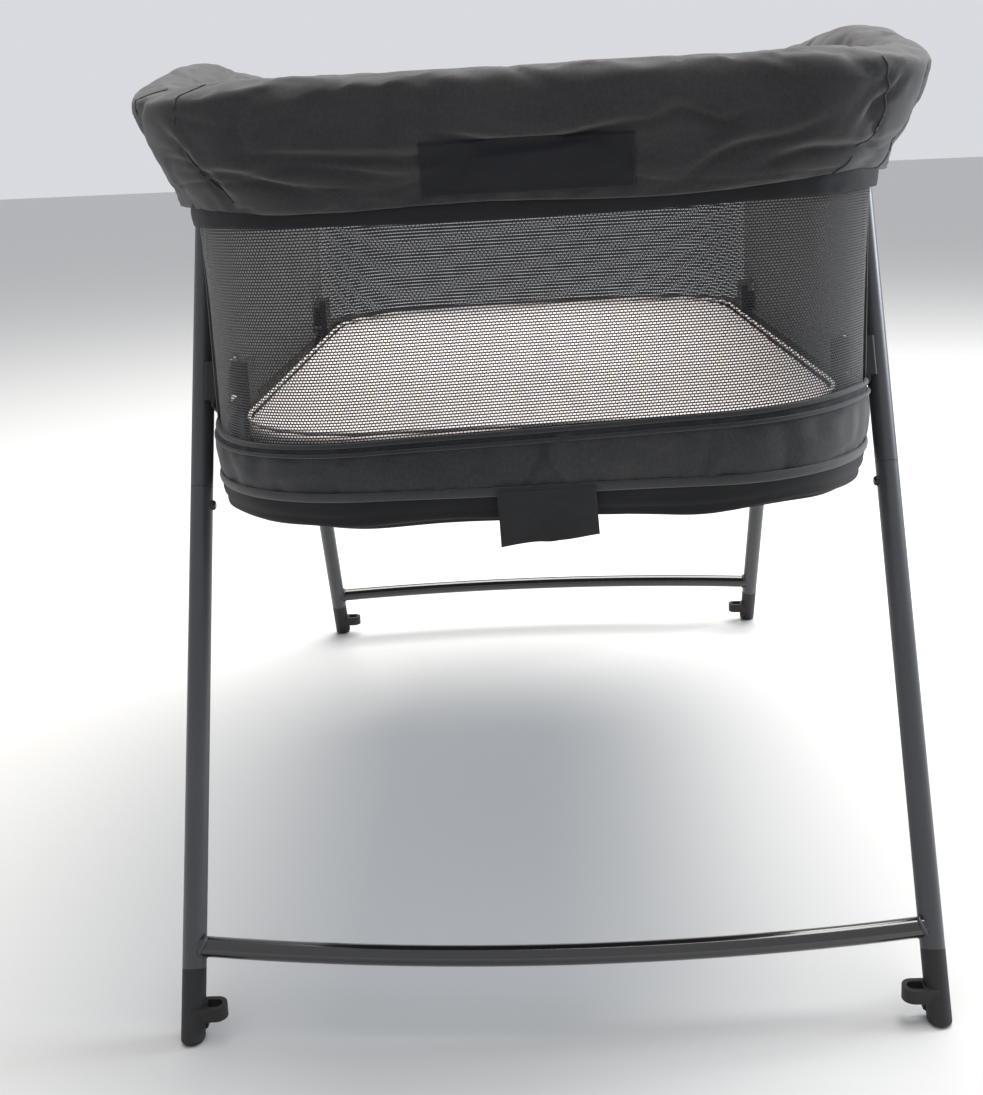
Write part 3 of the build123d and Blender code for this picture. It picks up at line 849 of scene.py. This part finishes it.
def make_cover():
    """The under cover: gathered below the band, slack round its edge and flat under the board."""
    rows = []
    depth = BAND_LOW.z - COVER_LOW.z
    for step in range(13):
        turn = step / 12 * math.pi / 2
        inset = 1.5 * MM + 10.5 * MM * (1 - math.cos(turn))
        ring = rounded(BAND_HIGH.x - inset, BAND_HIGH.y - inset, BASE_CORNER - inset)
        height = BAND_LOW.z + 1 * MM - depth * math.sin(turn)
        rows.append(np.column_stack([ring, np.full(len(ring), height)]))
    base = rounded(BAND_HIGH.x - 12 * MM, BAND_HIGH.y - 12 * MM, BASE_CORNER - 12 * MM)
    for share in np.linspace(0.93, 0.03, 26):
        ring = shrunk(base, share, 0.17)
        rows.append(np.column_stack([ring, np.full(len(ring), COVER_LOW.z)]))
    points = np.array(rows)[::-1]
    place = np.arange(len(points))[:, None]
    edge = np.exp(-((place - 28) / 4.5) ** 2)
    gather = np.sin(points[..., 2] * 2 * math.pi / 0.010 + 6 * ripple(points, (7, 7, 20), 1.0))
    hang = ripple(points, (12, 12, 12), 7.0)
    amount = edge * (2.0 * gather * (place > 27) + 3.0 * hang)
    amount += 1.2 * ripple(points, (20, 20, 20), 3.0)
    amount[-2:] = 0
    points = push(points, amount * MM)
    cover = cloth_grid("under_cover", points, True)
    bm = bmesh.new()
    bm.from_mesh(cover.data)
    bmesh.ops.remove_doubles(bm, verts=bm.verts, dist=1e-5)
    rim = [e for e in bm.edges if e.is_boundary and e.verts[0].co.z < COVER_LOW.z + 5 * MM]
    bmesh.ops.contextual_create(bm, geom=rim)
    bm.to_mesh(cover.data)
    bm.free()
    thicken(cover, 1.0 * MM)
    finish_piece(cover, M["under_fabric"].material, nodes=("base_cover",))


def make_tab():
    """The pull tab: a doubled strip of cloth, creased and curling forward at its foot."""
    width, cols, rows = TAB_HIGH.x - TAB_LOW.x, 40, 26
    height = TAB_HIGH.z - TAB_LOW.z
    grid = np.zeros((rows + 1, cols + 1, 3))
    across = np.linspace(0, 1, cols + 1)[None]
    down = np.linspace(1, 0, rows + 1)[:, None]
    slant = 6 * MM * (0.5 - across) * down
    grid[..., 0] = TAB_LOW.x + width * (0.02 + 0.96 * across) + 2 * MM * down
    grid[..., 2] = TAB_HIGH.z - (height - 2 * MM) * down - slant
    wave = 2.2 * np.sin(across * 2 * math.pi * 1.3 + 1.0 + 1.5 * down)
    fold = wave + 2.0 * np.exp(-((across - 0.3 - 0.2 * down) / 0.06) ** 2)
    grid[..., 1] = TAB_LOW.y + 1.5 * MM - (1.5 * down + 2.5 * down ** 3 + fold * down) * MM
    grid[..., 1] += 0.8 * MM * ripple(grid, (70, 5, 90), 2.0)
    tab = cloth_grid("pull_tab_cloth", grid[:, ::-1], False)
    thicken(tab, 1.6 * MM, 0)
    finish_piece(tab, M["tab_fabric"].material, nodes=("pull_tab",))


def blurred(values, times):
    """Values smoothed over their neighbours, in both directions of a grid."""
    for _ in range(times):
        wide = np.pad(values, 1, mode="edge")
        near = wide[:-2, 1:-1] + wide[2:, 1:-1] + wide[1:-1, :-2] + wide[1:-1, 2:]
        values = (near + 2 * values) / 6
    return values


def make_patch(collar):
    """A plain patch sewn to the near face of the collar; it bridges the small wrinkles under it."""
    tree = surface_of(collar)
    cols, rows = 90, 26
    width, height = PATCH_HIGH.x - PATCH_LOW.x, PATCH_HIGH.z - PATCH_LOW.z
    across, up = np.meshgrid(np.linspace(0, 1, cols + 1), np.linspace(0, 1, rows + 1))
    xs = PATCH_LOW.x + width * across
    zs = PATCH_LOW.z + 14 * MM + height * up + LIST * xs
    front = np.zeros(xs.shape)
    for place in np.ndindex(*xs.shape):
        hit = tree.ray_cast(Vector((xs[place], COLLAR_LOW.y - 0.1, zs[place])), Vector((0, 1, 0)))[0]
        front[place] = hit.y
    smooth_front = blurred(front, 60)
    gap = blurred(np.maximum(smooth_front - front, 0), 8)
    edge = np.minimum(np.minimum(across, 1 - across) * 150, np.minimum(up, 1 - up) * 38)
    lift = 0.7 + 0.9 * smooth(0.0, 2.0, edge) - 0.5 * np.exp(-((edge - 4) / 0.9) ** 2)
    ys = np.minimum(smooth_front - gap, front) - lift * MM
    grid = np.stack([xs, ys, zs], -1)
    patch = cloth_grid("collar_patch_cloth", grid, False, level=True)
    thicken(patch, 0.9 * MM)
    finish_piece(patch, M["patch_fabric"].material, nodes=("collar_patch",))


# ---- mattress ----

MATTRESS_CORNER = 0.124
MATTRESS_LEAN = 0.016       # its top is pressed a little lower on the left, per metre across
EDGE = 13 * MM              # how far in the rounded edge reaches
FACE_ROWS, EDGE_ROWS = 30, 17


def make_mattress():
    """A foam pad in a cotton cover: crowned top, rounded piped edge, slack at the corners."""
    half_x, half_y = MATTRESS_HIGH.x - 1 * MM, MATTRESS_HIGH.y - 1 * MM
    low, high = MATTRESS_LOW.z, MATTRESS_HIGH.z
    middle, half = (low + high) / 2, (high - low) / 2
    rows = []
    face = rounded(half_x - EDGE, half_y - EDGE, MATTRESS_CORNER - EDGE)
    for share in np.linspace(0.02, 0.94, FACE_ROWS):
        rows.append((shrunk(face, share, 0.165), low))
    for turn in np.linspace(-math.pi / 2, math.pi / 2, EDGE_ROWS):
        inset = EDGE * (1 - abs(math.cos(turn)) ** 0.8)
        ring = rounded(half_x - inset, half_y - inset, MATTRESS_CORNER - inset)
        rows.append((ring, middle + half * math.sin(turn)))
    for share in np.linspace(0.94, 0.02, FACE_ROWS):
        rows.append((shrunk(face, share, 0.165), high))
    points = np.array([np.column_stack([ring, np.full(len(ring), z)]) for ring, z in rows])
    top = (points[..., 2] > middle)
    soft = ripple(points, (9, 9, 9), 5.0) * 1.2 + ripple(points, (28, 28, 28), 2.0) * 0.5
    near_edge = smooth(0.19, 0.245, np.abs(points[..., 0]))
    near_edge += smooth(0.33, 0.40, np.abs(points[..., 1]))
    dip = np.clip(near_edge, 0, 1)
    points[..., 2] += np.where(top, (soft - 1.2 - dip) * MM, 0)
    share_up = (points[..., 2] - low) / (high - low)
    points[..., 2] += MATTRESS_LEAN * share_up * points[..., 0]
    pad = cloth_grid("mattress_pad", points, True, level=True)
    bm = bmesh.new()
    bm.from_mesh(pad.data)
    bmesh.ops.holes_fill(bm, edges=[e for e in bm.edges if e.is_boundary], sides=0)
    bm.to_mesh(pad.data)
    bm.free()
    pinned = np.zeros(points.shape[:2], bool)
    pinned[:FACE_ROWS] = True
    settle(pad, pinned, 1.0, 0.02, cap=0.003, stiffness=20)
    finish_piece(pad, M["mattress_fabric"].material, "mattress",
                 ("mattress_cover", "mattress_core"))
    welt_in = 3.0 * MM
    line = ring_line(half_x - welt_in, half_y - welt_in, MATTRESS_CORNER - welt_in,
                     high - 3.6 * MM, 0.5 * MM, 3.0)
    line[:, 2] += MATTRESS_LEAN * line[:, 0]
    welt = tube("mattress_welt", line, 1.7 * MM, closed=True, sides=10, level=True)
    finish_piece(welt, M["mattress_fabric"].material, "mattress")


# ---- stand details ----

BAR_RADIUS, LEG_RADIUS = 8.6, 9.5      # mm


def make_welds():
    """A weld fillet where each crossbar meets a leg."""
    for end, sign in ENDS.items():
        low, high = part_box(f"crossbar_{end}")
        beads = []
        for side in (-1, 1):
            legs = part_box(f"lower_leg_{end}_{'right' if side > 0 else 'left'}")
            leg_x = (legs[0].x + legs[1].x) / 2
            bar_z = (low.z + high.z) / 2
            near_y = high.y - 8 * MM if sign < 0 else low.y + 8 * MM
            ring = []
            for turn in np.linspace(0, 2 * math.pi, 40, endpoint=False):
                out_y, out_z = BAR_RADIUS * MM * math.cos(turn), BAR_RADIUS * MM * math.sin(turn)
                off_axis = out_y / MM * 0.9 + out_z / MM * 0.42
                bite = math.sqrt(max(LEG_RADIUS ** 2 - off_axis ** 2, 0)) * MM
                ring.append((leg_x - side * (bite + 0.6 * MM), near_y + out_y, bar_z + out_z))
            beads.append(tube(f"bead_{side}", ring, 1.6 * MM, closed=True, sides=8, level=True))
        piece = join(f"crossbar_welds_{end}", beads)
        finish_piece(piece, M["leg_paint"].material, f"{end}_leg_unit")


collar, collar_points = make_collar()
corner_seams(collar, collar_points)
make_tape()
make_patch(collar)
make_walls()
make_side_walls()
make_band()
make_trims()
make_cover()
make_tab()
make_mattress()
make_welds()


# ---- stage, light and camera ----

def material_plain(name, colour, rough):
    m = Nodes(name)
    m.shader.inputs["Base Color"].default_value = (*colour, 1)
    m.shader.inputs["Roughness"].default_value = rough
    return m.material


def area_light(name, place, target, size, power, colour):
    lamp = bpy.data.lights.new(name, "AREA")
    lamp.shape = "DISK"
    lamp.size = size
    lamp.energy = power
    lamp.color = colour
    holder = bpy.data.objects.new(name, lamp)
    holder.location = place
    holder.rotation_euler = (Vector(target) - Vector(place)).to_track_quat("-Z", "Y").to_euler()
    bpy.context.scene.collection.objects.link(holder)


bpy.ops.mesh.primitive_plane_add(size=60, location=(0, 0, -0.5 * MM))
floor = bpy.context.object
floor.name = "floor"
floor.data.materials.append(material_plain("pale_floor", (0.62, 0.62, 0.61), 0.9))

world = bpy.data.worlds.new("studio")
bpy.context.scene.world = world
world.use_nodes = True
world.node_tree.nodes["Background"].inputs["Color"].default_value = (0.93, 0.95, 1.0, 1)
world.node_tree.nodes["Background"].inputs["Strength"].default_value = 0.74
area_light("top_key", (0.5, 0.9, 3.2), (0, 0, 0.3), 3.0, 190, (1.0, 0.96, 0.90))
area_light("right_cool", (3.0, 0.5, 1.5), (0, 0, 0.4), 1.2, 70, (0.82, 0.90, 1.0))
bpy.context.scene.view_settings.view_transform = "Standard"

# The camera stands at the near end, a little below the rim, and looks slightly down.
CAMERA_PLACE = (-0.0066, -1.4076, 0.6727)
YAW, PITCH, ROLL = -1.774, 12.438, -2.549   # degrees
LENS = 45.06                                # mm on a sensor 36 mm wide
RISE = -0.089

yaw, pitch, roll = (math.radians(angle) for angle in (YAW, PITCH, ROLL))
forward = Vector((math.sin(yaw) * math.cos(pitch), math.cos(yaw) * math.cos(pitch), -math.sin(pitch)))
level = Vector((math.cos(yaw), -math.sin(yaw), 0))
upward = level.cross(forward)
right = level * math.cos(roll) + upward * math.sin(roll)
above = -level * math.sin(roll) + upward * math.cos(roll)
camera_data = bpy.data.cameras.new("camera")
camera_data.lens = LENS
camera_data.sensor_width = 36
camera_data.shift_y = RISE
camera = bpy.data.objects.new("camera", camera_data)
camera.matrix_world = Matrix([
    [right.x, above.x, -forward.x, CAMERA_PLACE[0]],
    [right.y, above.y, -forward.y, CAMERA_PLACE[1]],
    [right.z, above.z, -forward.z, CAMERA_PLACE[2]],
    [0, 0, 0, 1],
])
bpy.context.scene.collection.objects.link(camera)
bpy.context.scene.camera = camera
